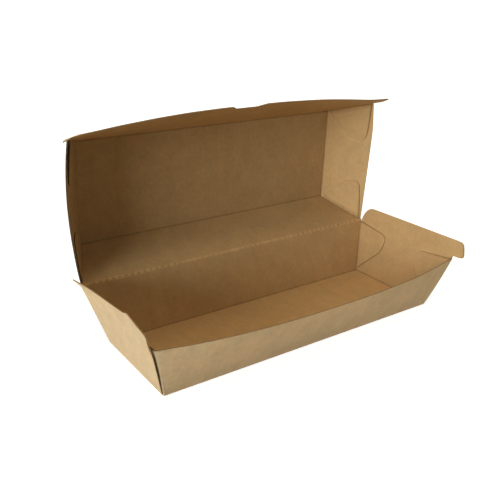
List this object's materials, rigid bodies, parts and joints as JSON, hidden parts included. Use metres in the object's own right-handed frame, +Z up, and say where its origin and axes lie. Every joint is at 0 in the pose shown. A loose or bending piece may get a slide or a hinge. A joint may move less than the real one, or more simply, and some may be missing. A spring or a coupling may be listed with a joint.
{
  "type": "takeaway box",
  "caption": "Hinged kraft board takeaway box for food, with a tapered tray, an open lid, glued corner tabs, locking lips with ears and a thumb notch.",
  "frame": {"origin": "Middle of the floor's underside, which the box stands on.", "axes": "+X runs along the length to the right as seen from the front, +Y points back to the hinge and +Z up. The front faces -Y."},
  "size_m": [0.2221, 0.1217, 0.1245],
  "materials": {
    "tray": "plain kraft board, matt, paler outside",
    "lid": "plain kraft board, matt, paler outside"
  },
  "bodies": {
    "tray": {"tray": "tray"},
    "lid": {"lid": "lid"}
  },
  "joints": [
    {"name": "lid_hinge", "type": "hinge", "parent": "tray", "child": "lid", "pos_m": [0, 0.04126, 0.03345], "axis": [1, 0, 0], "range_deg": [-91, 74]}
  ]
}
